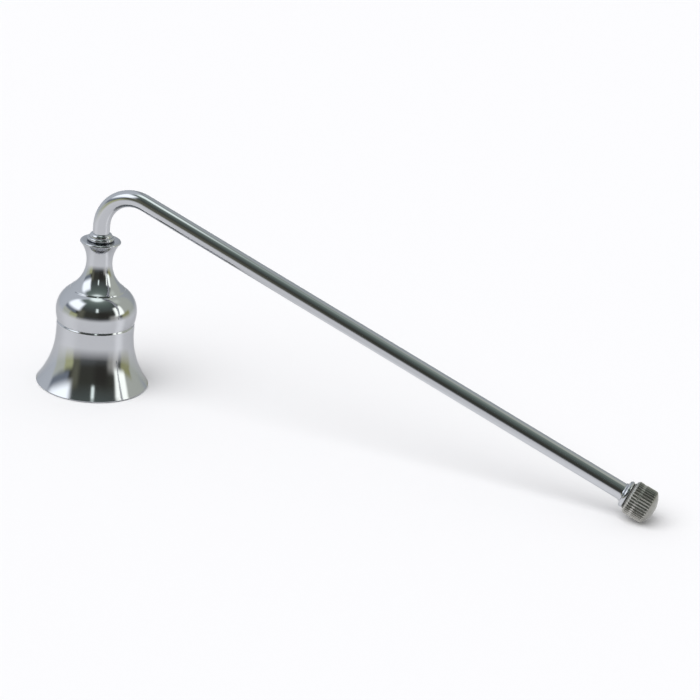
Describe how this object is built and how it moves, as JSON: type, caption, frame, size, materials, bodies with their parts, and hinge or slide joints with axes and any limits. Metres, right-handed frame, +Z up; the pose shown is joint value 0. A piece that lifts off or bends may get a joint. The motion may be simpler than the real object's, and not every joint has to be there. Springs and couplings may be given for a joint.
{
  "type": "candle snuffer",
  "caption": "Polished candle snuffer: a flared bell screwed to a bent round rod that slopes down to a knurled knob; the bell is lowered over a flame to put it out.",
  "frame": {"origin": "middle of the bell's mouth, in the plane of its rim", "axes": "+Z up along the bell's axis, +X along the handle from the bell towards the knob, +Y to the left seen from the bell"},
  "size_m": [0.1922, 0.0338, 0.0626],
  "materials": {
    "bell": "polished chrome plate on brass",
    "neck_ring": "polished chrome plate on brass",
    "rod": "polished chrome plate on brass",
    "collar": "polished chrome plate on brass",
    "knob": "chrome plate on straight knurling",
    "knob_washer": "grey vulcanised fibre"
  },
  "bodies": {
    "bell": {"bell": "bell"},
    "neck_ring": {"neck_ring": "neck_ring"},
    "rod": {"rod": "rod", "collar": "collar"},
    "knob_washer": {"knob_washer": "knob_washer"},
    "knob": {"knob": "knob"}
  },
  "joints": [
    {"name": "rod_turn", "type": "hinge", "parent": "bell", "child": "neck_ring", "pos_m": [0, 0, 0.0454], "axis": [0, 0, 1], "range_deg": [0, 3600.01]},
    {"name": "rod_lift", "type": "slide", "parent": "neck_ring", "child": "rod", "axis": [0, 0, 1], "range_m": [0, 0.007]},
    {"name": "knob_turn", "type": "hinge", "parent": "rod", "child": "knob_washer", "pos_m": [0.16713, 0, 0.00681], "axis": [0.9456, 0, -0.3252], "range_deg": [0, 2880.01]},
    {"name": "knob_travel", "type": "slide", "parent": "knob_washer", "child": "knob", "axis": [0.9456, 0, -0.3252], "range_m": [0, 0.0056]}
  ],
  "couplings": [
    {"joint": "rod_turn", "follows": "rod_lift", "rad_per_m": 8976},
    {"joint": "knob_turn", "follows": "knob_travel", "rad_per_m": 8976}
  ]
}
